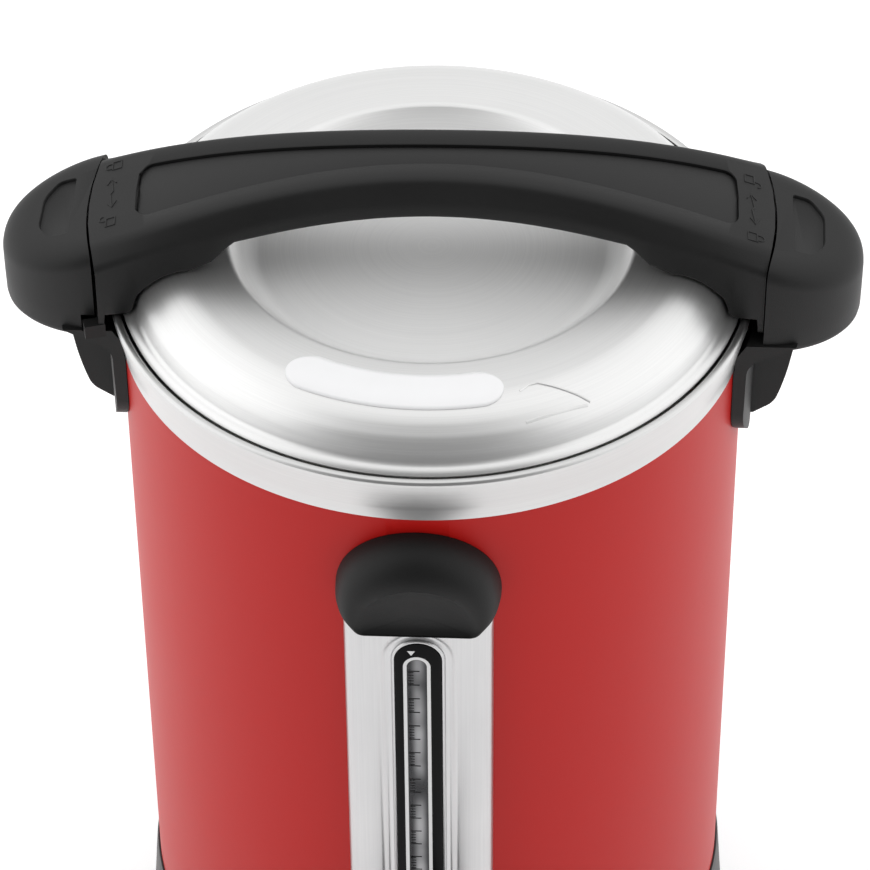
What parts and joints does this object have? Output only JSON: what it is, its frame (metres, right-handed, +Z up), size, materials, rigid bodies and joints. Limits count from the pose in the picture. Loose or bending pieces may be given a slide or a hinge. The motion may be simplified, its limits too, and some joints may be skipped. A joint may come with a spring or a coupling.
{
  "type": "hot water boiler",
  "caption": "Electric hot-water boiler: double-walled steel body, locking lid with a bridge handle, side grips, sight gauge, self-closing tap and a control base.",
  "frame": {"origin": "centre of the rubber foot's underside, on the tank's axis", "axes": "+Z up along the tank's axis; the gauge, the tap and the controls face -Y; the side grips lie along X"},
  "size_m": [0.3346, 0.3497, 0.4364],
  "materials": {
    "painted_shell": "satin red paint",
    "lid_steel": "brushed and polished stainless steel",
    "steel": "brushed stainless steel",
    "zinc_steel": "zinc-plated steel",
    "aluminium": "cast aluminium",
    "handle_black": "fine-textured black phenolic",
    "insert_black": "smooth dark inlay",
    "base_black": "satin black plastic",
    "switch_black": "gloss black plastic",
    "lamp_amber": "clear amber plastic",
    "block_ivory": "ivory plastic",
    "scale_white": "pale grey plastic",
    "lens_black": "black-printed clear acrylic",
    "tube_glass": "clear borosilicate glass",
    "rubber_black": "black rubber",
    "silicone": "grey-white silicone"
  },
  "bodies": {
    "root": {"foot_ring": "rubber_black", "base_plate": "zinc_steel", "base_moulding": "base_black", "base_nuts": "zinc_steel", "tie_rods": "zinc_steel", "outer_shell": "painted_shell", "rim_collar": "lid_steel", "inner_tank": "steel", "heat_plate": "aluminium", "heating_element": "steel", "thermal_cutout": "base_black", "terminal_block": "block_ivory", "power_inlet": "base_black", "inlet_screws": "zinc_steel", "control_panel": "base_black", "panel_screws": "zinc_steel", "switch_bezel": "switch_black", "thermostat_body": "zinc_steel", "lamp_lenses": "lamp_amber", "gauge_cover": "steel", "gauge_hood": "handle_black", "gauge_lens": "lens_black", "scale_plate": "scale_white", "sight_tube": "tube_glass", "tube_top_plug": "rubber_black", "tube_grommet": "rubber_black", "tap_body": "base_black", "tap_washers": "rubber_black", "tap_nut": "steel", "tap_bonnet": "base_black", "lever_pin": "steel", "valve_spring": "steel", "left_grip": "handle_black", "right_grip": "handle_black", "left_bracket": "zinc_steel", "right_bracket": "zinc_steel", "grip_screws": "zinc_steel"},
    "seal_ring": {"rim_seal": "silicone"},
    "lid": {"lid_pan": "lid_steel", "lid_liner": "steel", "steam_vent": "handle_black", "bridge_handle": "handle_black", "handle_insert": "insert_black", "bridge_cover": "handle_black", "bridge_screws": "zinc_steel"},
    "lever": {"tap_lever": "base_black"},
    "valve": {"valve_stem": "steel", "valve_cup": "silicone"},
    "knob": {"thermostat_knob": "base_black", "thermostat_spindle": "zinc_steel"},
    "rocker": {"switch_rocker": "switch_black"}
  },
  "joints": [
    {"name": "lid_turn", "type": "hinge", "parent": "root", "child": "seal_ring", "pos_m": [0, 0, 0.36], "axis": [0, 0, 1], "range_deg": [-12, 25]},
    {"name": "lid_lift", "type": "slide", "parent": "seal_ring", "child": "lid", "axis": [0, 0, 1], "range_m": [0, 0.15]},
    {"name": "lever_tilt", "type": "hinge", "parent": "root", "child": "lever", "pos_m": [0, -0.176, 0.141], "axis": [1, 0, 0], "range_deg": [0, 25]},
    {"name": "valve_lift", "type": "slide", "parent": "root", "child": "valve", "axis": [0, 0, 1], "range_m": [0, 0.0052], "stiffness_N_per_m": 1200, "springref_m": -0.005, "deforming": ["valve_spring"]},
    {"name": "knob_turn", "type": "hinge", "parent": "root", "child": "knob", "pos_m": [0.033, -0.1379, 0.033], "axis": [0, -1, 0], "range_deg": [0, 270]},
    {"name": "rocker_tip", "type": "hinge", "parent": "root", "child": "rocker", "pos_m": [-0.033, -0.1359, 0.033], "axis": [1, 0, 0], "range_deg": [0, 18]}
  ],
  "couplings": [
    {"joint": "lever_tilt", "follows": "valve_lift", "rad_per_m": 83.333}
  ]
}
